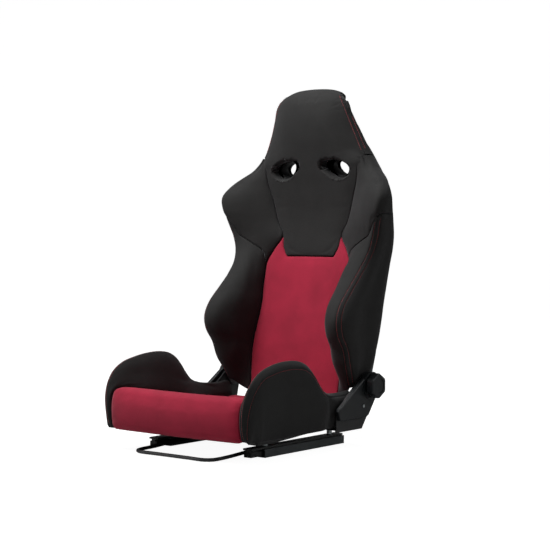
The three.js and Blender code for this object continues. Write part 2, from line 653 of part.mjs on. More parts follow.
// Steel frame: a tube hoop welded to the lower crossbar, with a post loop into the headrest.
function tubeDepth(z) {
  return section(z).seamY + padDepth + 2.5 + frameTubeRadius;
}
function backFrame() {
  const hoopX = 112;
  const side = [];
  for (const z of [crossbarZ, 300, 360, 420, 480, 540, 600, 650, 690]) side.push(V(hoopX, tubeDepth(z), z));
  side[0].y = crossbarY;
  const corner = [V(hoopX - 10, tubeDepth(714), 714), V(hoopX - 36, tubeDepth(724), 724)];
  const left = [...side, ...corner];
  const hoop = [...left, V(0, tubeDepth(724), 725), ...left.map((p) => V(-p.x, p.y, p.z)).reverse()];
  const post = [V(19, 319, 722), V(19, 316, 790), V(19, 312, 860), V(15, 309, 892), V(0, 308, 898)];
  const postLoop = [...post, ...post.slice(0, 4).map((p) => V(-p.x, p.y, p.z)).reverse()];
  const reach = armX - clearance;
  const crossbar = rod("x", frameTubeRadius, -reach, reach, crossbarY, crossbarZ, 16);
  return join(tube(hoop, frameTubeRadius, 72, 10), tube(postLoop, 5.5, 36, 8), crossbar);
}
place("back_frame", backFrame(), blackSteel);

// Zigzag wires across the hoop behind the pad.
function backSpring(z) {
  const pts = [];
  const turns = 10;
  const y = tubeDepth(z);
  for (let i = 0; i <= turns; i++) {
    const x = lerp(-100, 100, i / turns);
    const side = i === 0 || i === turns ? 0 : (i % 2 ? 1 : -1) * 16;
    pts.push(V(x, y, z + side));
  }
  return tube(pts, 1.8, turns * 3, 6);
}
[330, 420, 510, 600].forEach((z, i) => place("back_spring_" + (i + 1), backSpring(z), greySteel));

function reclinerArm() {
  const plate = sideways(armOutline(0), armX, armX + plateThickness);
  return cut(plate, rod("x", shaftRadius + 0.4, armX - 3, armX + 9, pivotY, pivotZ, 24));
}
pair("recliner_arm", reclinerArm(), greySteel);

// ---- recliner knob, cross shaft and cap --------------------------------------------------------------
const coverOuter = coverInnerX + coverThickness;
const knobIn = coverOuter + 1.2;
const knobOut = knobIn + knobDepth + 3;
function knobOutline(scale) {
  const pts = [];
  const corners = [90, 150, 210, 270, 330, 30];
  const round = 9;
  corners.forEach((a) => {
    const t = a * Math.PI / 180;
    const r = a === 90 || a === 270 ? 37 : 36;
    for (let k = -2; k <= 2; k++) {
      const s = (a + k * 15) * Math.PI / 180;
      const cy = (r - round) * Math.cos(t);
      const cz = (r - round) * Math.sin(t);
      pts.push([pivotY + scale * (cy + round * Math.cos(s)), pivotZ + scale * (cz + round * Math.sin(s))]);
    }
  });
  return pts;
}
function knob() {
  const collar = rod("x", 22, knobIn, knobIn + 6, pivotY, pivotZ, 28);
  const body = sideways(knobOutline(0.94), knobIn + 4, knobOut, 2.6);
  const recess = rod("x", 22.6, knobOut - 4, knobOut + 5, pivotY, pivotZ, 36);
  const bore = rod("x", shaftRadius + 0.4, knobIn - 3, knobOut - 9, pivotY, pivotZ, 24);
  return cut(join(collar, body), recess, bore);
}
place("recliner_knob", knob(), blackPlastic);
place("knob_cap", rod("x", 22, knobOut - 3.6, knobOut - 1.6, pivotY, pivotZ, 36), blackPlastic);
place("cross_shaft", rod("x", shaftRadius, -coverOuter - 2, knobOut - 9.5, pivotY, pivotZ, 20), zinc);
function endBoss() {
  const boss = rod("x", 19, coverOuter + 1.2, coverOuter + 9, pivotY, pivotZ, 32);
  return mirrored(cut(boss, rod("x", shaftRadius + 0.4, coverOuter, coverOuter + 4, pivotY, pivotZ, 24)));
}
place("shaft_end_cap", endBoss(), blackPlastic);

// ---- slide release handle ----------------------------------------------------------------------------
const handleArmX = 138;
function towBar() {
  const half = [V(handleArmX, handlePivotY - 14, handlePivotZ), V(handleArmX, -150, 15), V(handleArmX, -200, 12.5),
    V(handleArmX, -250, 9.5), V(handleArmX, -300, 8), V(handleArmX - 5, -319, 7.4), V(handleArmX - 24, handleFrontY, 7)];
  const path = [...half, V(60, handleFrontY, 7), V(0, handleFrontY, 7), V(-60, handleFrontY, 7),
    ...half.map((p) => V(-p.x, p.y, p.z)).reverse()];
  return tube(path, handleRadius, 64, 8);
}
place("slide_handle", towBar(), blackSteel);
function latchLever() {
  const side = sideways([[-118, 11], [-40, 11], [-30, 14], [-30, 21], [-40, 24], [-118, 22]],
    handleArmX + handleRadius + 0.4, railIn - 0.8);
  return cut(side, rod("x", 3.4, handleArmX, railIn + 2, handlePivotY, handlePivotZ, 16));
}
pair("latch_lever", latchLever(), greySteel);

export default seat;
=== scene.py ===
import bpy
import bmesh
import json
import math
import numpy as np
from mathutils import Matrix, Vector


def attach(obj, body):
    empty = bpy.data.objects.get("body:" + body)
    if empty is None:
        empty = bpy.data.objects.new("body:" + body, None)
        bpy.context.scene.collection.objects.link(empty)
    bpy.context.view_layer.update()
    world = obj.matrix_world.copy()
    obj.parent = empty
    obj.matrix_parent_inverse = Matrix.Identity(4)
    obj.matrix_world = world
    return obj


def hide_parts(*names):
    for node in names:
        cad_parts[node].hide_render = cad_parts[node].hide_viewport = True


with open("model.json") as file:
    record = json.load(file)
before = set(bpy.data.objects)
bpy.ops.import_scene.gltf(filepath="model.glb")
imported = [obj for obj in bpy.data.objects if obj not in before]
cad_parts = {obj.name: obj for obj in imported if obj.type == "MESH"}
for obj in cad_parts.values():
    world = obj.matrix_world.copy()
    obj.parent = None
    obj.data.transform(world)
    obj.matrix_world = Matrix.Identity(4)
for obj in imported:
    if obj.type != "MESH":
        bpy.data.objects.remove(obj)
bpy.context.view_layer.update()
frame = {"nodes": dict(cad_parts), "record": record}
nodes = frame["nodes"]

MM = 0.001
GAP = 1.4              # open seam between two covers, before their edges roll in
PAD_DEPTH = 34.0
PIVOT_Y, PIVOT_Z = 200.0, 165.0


# ---------------------------------------------------------------- small maths helpers
def smooth(lo, hi, v):
    t = np.clip((np.asarray(v, float) - lo) / (hi - lo), 0, 1)
    return t * t * (3 - 2 * t)


def lerp(a, b, t):
    return a + (b - a) * t


def hermite(p1, p2, m1, m2, t):
    t2, t3 = t * t, t * t * t
    return (2 * t3 - 3 * t2 + 1) * p1 + (t3 - 2 * t2 + t) * m1 + (3 * t2 - 2 * t3) * p2 + (t3 - t2) * m2


def table_at(table, z):
    """Smooth values between the rows of a table whose first column rises."""
    table = np.asarray(table, float)
    z = np.asarray(z, float)
    key = table[:, 0]
    i = np.clip(np.searchsorted(key, z, side="right") - 1, 0, len(key) - 2)
    before, after = np.maximum(i - 1, 0), np.minimum(i + 2, len(key) - 1)
    step = key[i + 1] - key[i]
    t = np.clip((z - key[i]) / step, 0, 1)[..., None]
    p1, p2 = table[i], table[i + 1]
    m1 = (step / (key[i + 1] - key[before]))[..., None] * (p2 - table[before])
    m2 = (step / (key[after] - key[i]))[..., None] * (table[after] - p1)
    return hermite(p1, p2, m1, m2, t)


def curve_at(points, c):
    """A smooth curve through control points on axis -2 at parameter c, which counts control points."""
    n = points.shape[-2]
    d = np.linalg.norm(np.diff(points, axis=-2), axis=-1) + 1e-6
    slope = np.diff(points, axis=-2) / d[..., None]
    tangent = np.empty_like(points)
    tangent[..., 0, :], tangent[..., -1, :] = slope[..., 0, :], slope[..., -1, :]
    a, b = d[..., :-1, None], d[..., 1:, None]
    tangent[..., 1:-1, :] = (slope[..., :-1, :] * b + slope[..., 1:, :] * a) / (a + b)
    k = np.clip(np.floor(c).astype(int), 0, n - 2)
    t = (c - k)[..., None]
    pick = lambda arr, idx: np.take_along_axis(arr, idx[..., None, None], axis=-2)[..., 0, :]
    length = np.take_along_axis(d, k[..., None], axis=-1)
    return hermite(pick(points, k), pick(points, k + 1), pick(tangent, k) * length,
                   pick(tangent, k + 1) * length, t)


# ---------------------------------------------------------------- the backrest's form, as in the solid model
SECTIONS = [
    # z, seam x, seam y, face y, crest x, crest y, side y, rear y, rear taper
    (120, 160, 176, 177, 216, 165, 215, 246, 0),
    (148, 160, 182, 183, 219, 158, 222, 254, 0),
    (186, 163, 187, 189, 225, 142, 232, 264, 0),
    (225, 165, 193, 196, 233, 120, 244, 274, 0),
    (270, 165, 200, 204, 236, 104, 258, 288, 0),
    (309, 160, 208, 213, 238, 78, 268, 299, 0),
    (347, 156, 217, 222, 238, 72, 278, 310, 0),
    (386, 153, 226, 232, 235, 90, 291, 322, 0),
    (425, 155, 234, 241, 232, 129, 306, 334, 0),
    (463, 154, 241, 249, 231, 168, 318, 339, 0),
    (502, 151, 249, 257, 234, 200, 325, 342, 0),
    (540, 131, 259, 266, 243, 218, 324, 343, 0),
    (579, 107, 269, 273, 254, 220, 314, 343, 0),
    (618, 125, 272, 276, 268, 211, 291, 343, 0),
    (656, 137, 272, 276, 282, 203, 266, 343, 0),
    (695, 148, 270, 273, 286, 209, 255, 342, 0),
    (733, 160, 266, 269, 264, 240, 266, 341, 2),
    (772, 166, 263, 263, 215, 271, 302, 341, 8),
    (811, 162, 262, 256, 182, 277, 313, 342, 12),
    (868, 124, 254, 247, 154, 274, 296, 341, 22),
    (917, 108, 251, 244, 135, 267, 281, 335, 28),
    (950, 98, 254, 247, 122, 263, 273, 329, 30),
    (975, 92, 260, 252, 110, 264, 272, 326, 30),
    (990, 84, 270, 262, 101, 270, 274, 322, 24),
    (999, 76, 282, 276, 90, 281, 284, 318, 14),
]
TOP = 999.0


class Section:
    def __init__(self, z):
        v = table_at(SECTIONS, z)
        (_, self.seam_x, self.seam_y, self.face_y, self.crest_x, self.crest_y, self.side_y, self.rear_y,
         self.taper) = np.moveaxis(v, -1, 0)
        self.side_x = self.crest_x + 10
        self.rear_x = self.side_x - 12 - 0.81 * self.taper
        self.corner_y = self.side_y + 8 + self.taper
        self.swell = lerp(28.0, 7.0, smooth(470, 590, z)) * smooth(120, 260, z)


def bolster_section(s):
    """Control points of a bolster from its seam, over the crest and down the side to the rear corner."""
    to_x, to_y = s.crest_x - 12 - s.seam_x, s.crest_y + 5 - s.seam_y
    run = np.hypot(to_x, to_y)

    def inner(t, swell):
        out = swell * s.swell
        return s.seam_x + to_x * t + out * to_y / run, s.seam_y + to_y * t - out * to_x / run

    mid = s.crest_y + 12
    rows = [(s.seam_x + GAP / 2, s.seam_y), inner(0.34, 0.55), inner(0.68, 1), inner(0.96, 0.7),
            (s.crest_x - 1, s.crest_y), (s.side_x - 1.5, mid), (s.side_x, lerp(mid, s.side_y, 0.5)),
            (s.side_x - 2, s.side_y - 6), (s.rear_x, s.corner_y)]
    return np.stack([np.stack(np.broadcast_arrays(x, y), -1) for x, y in rows], -2)


def grid_lengths(p, axis):
    d = np.linalg.norm(np.diff(p, axis=axis), axis=-1)
    start = np.zeros_like(np.take(d, [0], axis=axis))
    return np.concatenate([start, np.cumsum(d, axis=axis)], axis=axis)


def grid_normals(p):
    n = np.cross(np.gradient(p, axis=1), np.gradient(p, axis=0))
    return n / (np.linalg.norm(n, axis=-1, keepdims=True) + 1e-9)


def facing(n, towards):
    return n * np.where((n * np.asarray(towards)).sum(-1).mean() < 0, -1.0, 1.0)


def dress(p, towards, roll=7.0, depth=6.0, crown=3.0, reach=60.0, grooves=(), free=(), sides=None):
    """Turns a loft into a sewn, filled cover: it swells away from its seams and rolls in at its edges.
    grooves holds (column, depth, half-width) for sewn lines, free the edges that don't roll, and sides another
    (roll, depth) for the left and right edges."""
    n = facing(grid_normals(p), towards)
    across, along = grid_lengths(p, 1), grid_lengths(p, 0)
    far = 1e4
    edges = {
        "left": across if "left" not in free else across * 0 + far,
        "right": across[:, -1:] - across if "right" not in free else across * 0 + far,
        "low": along if "low" not in free else along * 0 + far,
        "high": along[-1:, :] - along if "high" not in free else along * 0 + far,
    }
    out = p.copy()
    nearest = np.minimum.reduce(list(edges.values()))
    out = out + n * (crown * (1 - np.exp(-nearest / reach)))[..., None]
    drop = 0
    for where, d in edges.items():
        wide, deep = sides if sides and where in ("left", "right") else (roll, depth)
        t = np.clip(1 - d / wide, 0, 1)
        drop = drop + deep * (1 - np.sqrt(np.clip(1 - t * t, 0, 1)))
    out = out - n * np.minimum(drop, depth * 1.5)[..., None]
    for column, deep, half in grooves:
        d = np.abs(across - across[:, column:column + 1])
        out = out - n * (deep * np.exp(-(d / half) ** 2))[..., None]
    if crown >= 1:
        out = inflate(out, towards, [g[0] for g in grooves])
    return out, n, np.stack([across, along], -1)


# ---------------------------------------------------------------- mesh helpers
CLOTH_FRAMES = 20
HELD_RIM = 2           # rows and columns that a seam holds still


def inflate(p, towards, sewn=(), pressure=4.0, cap=1.8, stiffness=8.0):
    """Blows a cover out between its seams by a short cloth simulation, by less than cap millimetres."""
    rows, cols = p.shape[:2]
    bm = bmesh.new()
    made = bmesh.ops.create_grid(bm, x_segments=cols - 1, y_segments=rows - 1, size=1.0)["verts"]
    place = []
    for v in made:
        i = round((v.co.y + 1) / 2 * (rows - 1))
        j = round((v.co.x + 1) / 2 * (cols - 1))
        place.append((i, j))
        v.co = Vector(p[i, j] * MM)
    obj = finish_mesh(bm, "cover_blank")
    place = np.array(place)
    n = facing(grid_normals(p), towards)[place[:, 0], place[:, 1]]
    mesh_n = np.empty(len(made) * 3)
    obj.data.vertices.foreach_get("normal", mesh_n)
    if (mesh_n.reshape(-1, 3) * n).sum() < 0:
        obj.data.flip_normals()
    held = obj.vertex_groups.new(name="seams")
    row, col = place.T
    still = (row < HELD_RIM) | (row >= rows - HELD_RIM) | (col < HELD_RIM) | (col >= cols - HELD_RIM)
    for column in sewn:
        still |= np.abs(col - column) < HELD_RIM
    held.add([int(k) for k in np.nonzero(still)[0]], 1.0, "REPLACE")
    cloth = obj.modifiers.new("cloth", "CLOTH")
    cloth.settings.quality = 4
    cloth.settings.mass = 0.01
    cloth.settings.tension_stiffness = stiffness
    cloth.settings.compression_stiffness = stiffness
    cloth.settings.bending_stiffness = 0.6
    cloth.settings.use_pressure = True
    cloth.settings.uniform_pressure_force = pressure
    cloth.settings.vertex_group_mass = "seams"
    cloth.settings.effector_weights.gravity = 0.0
    cloth.point_cache.frame_start, cloth.point_cache.frame_end = 1, CLOTH_FRAMES
    scene = bpy.context.scene
    for frame_number in range(1, CLOTH_FRAMES + 1):
        scene.frame_set(frame_number)
    shaped = obj.evaluated_get(bpy.context.evaluated_depsgraph_get())
    co = np.empty(len(made) * 3)
    shaped.data.vertices.foreach_get("co", co)
    out = p.copy()
    out[place[:, 0], place[:, 1]] = co.reshape(-1, 3) / MM
    scene.frame_set(1)
    data = obj.data
    bpy.data.objects.remove(obj)
    bpy.data.meshes.remove(data)
    move = out - p
    size = np.linalg.norm(move, axis=-1, keepdims=True)
    return p + move * np.minimum(1, cap * (1 - np.exp(-size / cap)) / (size + 1e-9))


def finish_mesh(bm, name, smooth_faces=True):
    bmesh.ops.recalc_face_normals(bm, faces=bm.faces[:])
    for f in bm.faces:
        f.smooth = smooth_faces
    mesh = bpy.data.meshes.new(name)
    bm.to_mesh(mesh)
    bm.free()
    obj = bpy.data.objects.new(name, mesh)
    bpy.context.scene.collection.objects.link(obj)
    return obj


def pad_object(name, outer, inner, flat):
    """A closed pad between an outer and an inner grid of points, in millimetres, with a UV map in metres."""
    rows, cols = outer.shape[:2]
    bm = bmesh.new()
    uv = bm.loops.layers.uv.new("cover")
    where = {}
    rims = []
    for points in (outer, inner):
        made = bmesh.ops.create_grid(bm, x_segments=cols - 1, y_segments=rows - 1, size=1.0)["verts"]
        mine = set(made)
        for v in made:
            i = round((v.co.y + 1) / 2 * (rows - 1))
            j = round((v.co.x + 1) / 2 * (cols - 1))
            v.co = Vector(points[i, j] * MM)
            where[v] = flat[i, j] * MM
        rims += [e for e in bm.edges if e.is_boundary and e.verts[0] in mine]
    bmesh.ops.bridge_loops(bm, edges=rims)
    for f in bm.faces:
        for loop in f.loops:
            loop[uv].uv = where[loop.vert]
    return finish_mesh(bm, name)


def mirrored_grid(p):
    return p * np.array([-1.0, 1.0, 1.0])


def thread_template():
    """One thread of topstitching: a spindle a unit long, lying along X."""
    bm = bmesh.new()
    bmesh.ops.create_uvsphere(bm, u_segments=6, v_segments=4, radius=0.5,
                              matrix=Matrix.Rotation(math.pi / 2, 4, "Y"))
    for f in bm.faces:
        f.smooth = True
    mesh = bpy.data.meshes.new("thread_template")
    bm.to_mesh(mesh)
    bm.free()
    return mesh


THREAD_MESH = thread_template()


def stitch_line(bm, path, normals, pitch=5.4, length=4.0, radius=0.6, lift=0.15):
    """Short threads laid end to end along a path of points."""
    d = np.r_[0, np.cumsum(np.linalg.norm(np.diff(path, axis=0), axis=1))]
    count = int(d[-1] / pitch)
    at = (np.arange(count) + 0.5) * d[-1] / count
    along = lambda values, where: np.stack([np.interp(where, d, values[:, a]) for a in range(3)], -1)
    for p, n, ahead, behind in zip(along(path, at), along(normals, at), along(path, at + 1), along(path, at - 1)):
        x = Vector(ahead - behind).normalized()
        z = Vector(n)
        z = (z - x * z.dot(x)).normalized()
        m = Matrix((x * length, z.cross(x) * 2 * radius, z * 2 * radius)).transposed().to_4x4()
        m.translation = Vector(p) + z * lift
        thread = THREAD_MESH.copy()
        thread.transform(Matrix.Scale(MM, 4) @ m)
        bm.from_mesh(thread)
        bpy.data.meshes.remove(thread)


# ---------------------------------------------------------------- shader groups and materials
def new_group(name, inputs, outputs):
    g = bpy.data.node_groups.new(name, "ShaderNodeTree")
    for n, kind, value in inputs:
        s = g.interface.new_socket(name=n, in_out="INPUT", socket_type="NodeSocket" + kind)
        if value is not None:
            s.default_value = value
    for n, kind in outputs:
        g.interface.new_socket(name=n, in_out="OUTPUT", socket_type="NodeSocket" + kind)
    return g, g.nodes.new("NodeGroupInput"), g.nodes.new("NodeGroupOutput")


def add(tree, kind, **settings):
    n = tree.nodes.new("ShaderNode" + kind)
    for key, value in settings.items():
        if key.startswith("in_"):
            n.inputs[key[3:].replace("_", " ")].default_value = value
        else:
            setattr(n, key, value)
    return n


def maths(tree, op, a, b=None, clamp=False):
    n = tree.nodes.new("ShaderNodeMath")
    n.operation = op
    n.use_clamp = clamp
    for socket, value in zip(n.inputs, (a, b)):
        if value is None:
            continue
        if hasattr(value, "is_output"):
            tree.links.new(value, socket)
        else:
            socket.default_value = value
    return n.outputs[0]


def weave_group():
    """A fine knit on the cover's own UV: thread height, a colour mask that paints shade into the hollows between the
    threads and adds random fuzz, and slow unevenness.
    """
    g, gi, go = new_group("cloth_weave",
                          [("Pitch mm", "Float", 1.6), ("Unevenness", "Float", 0.5)],
                          [("Height", "Float"), ("Mask", "Float"), ("Mottle", "Float")])
    uv = add(g, "UVMap", uv_map="cover")
    split = add(g, "SeparateXYZ")
    coord = add(g, "TexCoord")
    warp = add(g, "TexNoise", in_Scale=190.0, in_Detail=2.0)
    g.links.new(coord.outputs["Object"], warp.inputs["Vector"])
    g.links.new(uv.outputs[0], split.inputs[0])
    turns = maths(g, "DIVIDE", 6283.2, gi.outputs["Pitch mm"])
    wobble = maths(g, "MULTIPLY", maths(g, "SUBTRACT", warp.outputs["Fac"], 0.5), gi.outputs["Unevenness"])
    wobble = maths(g, "MULTIPLY", wobble, 4.0)
    a = maths(g, "SINE", maths(g, "ADD", maths(g, "MULTIPLY", split.outputs[0], turns), wobble))
    b = maths(g, "SINE", maths(g, "SUBTRACT", maths(g, "MULTIPLY", split.outputs[1], turns), wobble))
    product = maths(g, "MULTIPLY", a, b)
    height = maths(g, "MULTIPLY_ADD", product, 0.5)
    height.node.inputs[2].default_value = 0.5
    g.links.new(height, go.inputs["Height"])
    fuzz = add(g, "TexNoise", in_Scale=900.0, in_Detail=3.0)
    g.links.new(coord.outputs["Object"], fuzz.inputs["Vector"])
    # painted shade: the mask darkens the colour where the weave is low between threads, plus a random fuzz in tone
    hollow_shade_and_fuzz = maths(g, "ADD", maths(g, "MULTIPLY", height, 0.55), maths(g, "MULTIPLY", fuzz.outputs["Fac"], 0.6), True)
    g.links.new(hollow_shade_and_fuzz, go.inputs["Mask"])
    slow = add(g, "TexNoise", in_Scale=14.0, in_Detail=4.0, in_Roughness=0.6)
    g.links.new(coord.outputs["Object"], slow.inputs["Vector"])
    g.links.new(slow.outputs["Fac"], go.inputs["Mottle"])
    return g


def grain_group():
    """Moulded or leathery grain: rounded cells with a fine sparkle of roughness."""
    g, gi, go = new_group("moulded_grain", [("Scale", "Float", 600.0), ("Softness", "Float", 0.4)],
                          [("Height", "Float"), ("Wear", "Float"), ("Dust", "Float")])
    coord = add(g, "TexCoord")
    cells = add(g, "TexVoronoi", feature="SMOOTH_F1")
    g.links.new(coord.outputs["Object"], cells.inputs["Vector"])
    g.links.new(gi.outputs["Scale"], cells.inputs["Scale"])
    g.links.new(gi.outputs["Softness"], cells.inputs["Smoothness"])
    g.links.new(cells.outputs["Distance"], go.inputs["Height"])
    wear = add(g, "TexNoise", in_Scale=45.0, in_Detail=6.0, in_Roughness=0.65)
    g.links.new(coord.outputs["Object"], wear.inputs["Vector"])
    g.links.new(wear.outputs["Fac"], go.inputs["Wear"])
    dust = add(g, "TexNoise", in_Scale=7.0, in_Detail=5.0)
    g.links.new(coord.outputs["Object"], dust.inputs["Vector"])
    g.links.new(dust.outputs["Fac"], go.inputs["Dust"])
    return g


WEAVE = weave_group()
GRAIN = grain_group()


def start_material(name):
    m = bpy.data.materials.new(name)
    m.use_nodes = True
    return m, m.node_tree, m.node_tree.nodes["Principled BSDF"]


def colour_ramp(tree, fac, dark, light, low=0.2, high=0.8):
    r = add(tree, "ValToRGB")
    r.color_ramp.elements[0].position = low
    r.color_ramp.elements[1].position = high
    r.color_ramp.elements[0].color = (*dark, 1)
    r.color_ramp.elements[1].color = (*light, 1)
    tree.links.new(fac, r.inputs[0])
    return r.outputs[0]


def bump(tree, shader, height, strength, distance, previous=None):
    b = add(tree, "Bump", in_Strength=strength, in_Distance=distance)
    tree.links.new(height, b.inputs["Height"])
    if previous is not None:
        tree.links.new(previous, b.inputs["Normal"])
    tree.links.new(b.outputs[0], shader.inputs["Normal"])
    return b.outputs[0]


def cloth_material(name, dark, light, pitch, sheen, sheen_tint, rough=0.92, uneven=0.5, depth=0.00012):
    m, t, p = start_material(name)
    w = t.nodes.new("ShaderNodeGroup")
    w.node_tree = WEAVE
    w.inputs["Pitch mm"].default_value = pitch
    w.inputs["Unevenness"].default_value = uneven
    # thread colour with painted shade: dark in the weave's hollows, light on the thread tops, with random fuzz
    threads = colour_ramp(t, w.outputs["Mask"], dark, light, 0.25, 0.85)
    slow = colour_ramp(t, w.outputs["Mottle"], (0.86, 0.86, 0.86), (1.1, 1.1, 1.1), 0.3, 0.7)
    mix = add(t, "Mix", data_type="RGBA", blend_type="MULTIPLY")
    mix.inputs["Factor"].default_value = 1.0
    t.links.new(threads, mix.inputs[6])
    t.links.new(slow, mix.inputs[7])
    t.links.new(mix.outputs[2], p.inputs["Base Color"])
    p.inputs["Roughness"].default_value = rough
    p.inputs["Sheen Weight"].default_value = sheen
    p.inputs["Sheen Roughness"].default_value = 0.45
    p.inputs["Sheen Tint"].default_value = (*sheen_tint, 1)
    p.inputs["Specular IOR Level"].default_value = 0.25
    first = bump(t, p, w.outputs["Height"], 0.6, depth)
    bump(t, p, w.outputs["Mottle"], 0.25, 0.004, first)
    return m


def moulded_material(name, dark, light, rough, scale, depth, metallic=0.0, coat=0.0, wear=0.12, specular=0.5):
    m, t, p = start_material(name)
    g = t.nodes.new("ShaderNodeGroup")
    g.node_tree = GRAIN
    g.inputs["Scale"].default_value = scale
    colour = colour_ramp(t, g.outputs["Wear"], dark, light, 0.3, 0.75)
    t.links.new(colour, p.inputs["Base Color"])
    r = maths(t, "ADD", maths(t, "MULTIPLY", g.outputs["Wear"], wear * 2), rough - wear)
    r = maths(t, "ADD", r, maths(t, "MULTIPLY", g.outputs["Dust"], 0.08), True)
    t.links.new(r, p.inputs["Roughness"])
    p.inputs["Metallic"].default_value = metallic
    p.inputs["Coat Weight"].default_value = coat
    p.inputs["Coat Roughness"].default_value = 0.25
    p.inputs["Specular IOR Level"].default_value = specular
    bump(t, p, g.outputs["Height"], 0.5, depth)
    return m


RED = cloth_material("red_cloth", (0.235, 0.0095, 0.026), (0.47, 0.022, 0.058), 2.0, 0.25, (1.0, 0.55, 0.6))
BLACK = cloth_material("black_cloth", (0.0095, 0.0092, 0.0090), (0.026, 0.0255, 0.025), 1.5, 0.12,
                       (0.85, 0.85, 0.9), 0.82, 0.3, 0.00006)
VINYL = moulded_material("black_grained_vinyl", (0.012, 0.012, 0.0125), (0.02, 0.02, 0.021), 0.5, 420, 0.0003)
PLASTIC = moulded_material("black_moulded_plastic", (0.0062, 0.0082, 0.0095), (0.011, 0.0135, 0.0155), 0.38, 900,
                           0.00008)
BLACK_STEEL = moulded_material("black_powder_coat", (0.009, 0.0095, 0.010), (0.016, 0.017, 0.018), 0.34, 700,
                               0.00006, 0.0, 0.15)
GREY_STEEL = moulded_material("grey_rail_coat", (0.075, 0.085, 0.088), (0.11, 0.12, 0.125), 0.42, 800, 0.00005,
                              0.35)
ZINC = moulded_material("bright_zinc", (0.42, 0.47, 0.48), (0.60, 0.64, 0.64), 0.3, 1200, 0.00003, 1.0)
THREAD = moulded_material("red_thread", (0.33, 0.035, 0.05), (0.55, 0.09, 0.10), 0.7, 2500, 0.0001)


def give(obj, material):
    obj.data.materials.clear()
    obj.data.materials.append(material)


def add_piece(obj, material, body, replaces=()):
    give(obj, material)
    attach(obj, body)
    if replaces:
        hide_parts(*replaces)
    return obj


# ---------------------------------------------------------------- camera, light and floor
SCALE_K = 0.965
target = Vector((279.5 * SCALE_K, -233.0, 500 * SCALE_K)) * MM
azimuth, elevation = math.radians(39.0), math.radians(1.9)
back = Vector((math.sin(azimuth) * math.cos(elevation), -math.cos(azimuth) * math.cos(elevation),
               math.sin(elevation)))
camera_data = bpy.data.cameras.new("camera")
camera_data.sensor_width = 36.0
camera_data.lens = 36.0 * 1500 / 550
camera_data.clip_end = 50
camera = bpy.data.objects.new("camera", camera_data)
bpy.context.scene.collection.objects.link(camera)
camera.location = target + back * 3.950 * SCALE_K
camera.rotation_euler = back.to_track_quat("Z", "Y").to_euler()
bpy.context.scene.camera = camera

floor_bm = bmesh.new()
front_edge = [floor_bm.verts.new((x, -9, 0)) for x in (-14, 14)]
sweep = [floor_bm.edges.new(front_edge)]


def pull_floor(offset):
    made = bmesh.ops.extrude_edge_only(floor_bm, edges=sweep[:1])["geom"]
    bmesh.ops.translate(floor_bm, vec=offset, verts=[g for g in made if isinstance(g, bmesh.types.BMVert)])
    sweep[0] = next(g for g in made if isinstance(g, bmesh.types.BMEdge) and g.is_boundary
                    and abs(g.verts[0].co.y - g.verts[1].co.y) < 1e-6)


pull_floor((0, 15, 0))
for k in range(12):
    low, high = math.radians(k * 7.5), math.radians((k + 1) * 7.5)
    pull_floor((0, 3 * (math.sin(high) - math.sin(low)), 3 * (math.cos(low) - math.cos(high))))
pull_floor((0, 0, 7))
bmesh.ops.rotate(floor_bm, cent=(0, 0, 0), matrix=Matrix.Rotation(azimuth, 3, "Z"), verts=floor_bm.verts[:])
floor = finish_mesh(floor_bm, "studio_floor")
floor_material, floor_tree, floor_shader = start_material("studio_white")
floor_shader.inputs["Base Color"].default_value = (0.42, 0.42, 0.42, 1)
floor_shader.inputs["Roughness"].default_value = 0.6
floor_shader.inputs["Specular IOR Level"].default_value = 0.15
floor_shader.inputs["Emission Color"].default_value = (1, 1, 1, 1)
seen = add(floor_tree, "LightPath")
glow = maths(floor_tree, "MULTIPLY", seen.outputs["Is Camera Ray"], 0.94)
floor_tree.links.new(glow, floor_shader.inputs["Emission Strength"])
give(floor, floor_material)

world = bpy.data.worlds.new("studio")
world.use_nodes = True
world.node_tree.nodes["Background"].inputs["Color"].default_value = (1, 1, 1, 1)
world.node_tree.nodes["Background"].inputs["Strength"].default_value = 0.16
bpy.context.scene.world = world


def area_light(name, location, aim, size, power, tint=(1, 1, 1)):
    data = bpy.data.lights.new(name, "AREA")
    data.shape = "RECTANGLE"
    data.size, data.size_y = size
    data.energy = power
    data.color = tint
    light = bpy.data.objects.new(name, data)
    bpy.context.scene.collection.objects.link(light)
    light.location = location
    light.rotation_euler = (Vector(location) - Vector(aim)).to_track_quat("Z", "Y").to_euler()


area_light("top_softbox", (-0.45, -0.75, 2.4), (0, 0.15, 0.6), (1.2, 1.0), 58)
area_light("front_fill", (-2.6, -2.4, 1.7), (0, 0, 0.5), (1.2, 1.6), 9)
area_light("side_strip", (2.4, 1.3, 1.3), (0.25, 0.15, 0.3), (0.2, 1.8), 9)
bpy.context.scene.view_settings.view_transform = "Standard"

# ---------------------------------------------------------------- backrest covers
NOTCH_LOW, NOTCH_HIGH = 519.0, 577.0


def panel_edge(t):
    return lerp(NOTCH_LOW, NOTCH_HIGH, np.clip((np.abs(t) - 0.6) / 0.4, 0, 1))


def face_grid(t, z, half):
    s = Section(z)
    x = t * half(s)
    y = lerp(s.face_y, s.seam_y, np.clip(np.abs(x) / s.seam_x, 0, 1) ** 2)
    return x, y, s


def steps(*stops):
    """Parameter values between stops given as (value, pieces to the next one)."""
    out = [stops[0][0]]
    for (a, n), (b, _) in zip(stops, stops[1:]):
        out += [a + (b - a) * (k + 1) / n for k in range(n)]
    return np.array(out)


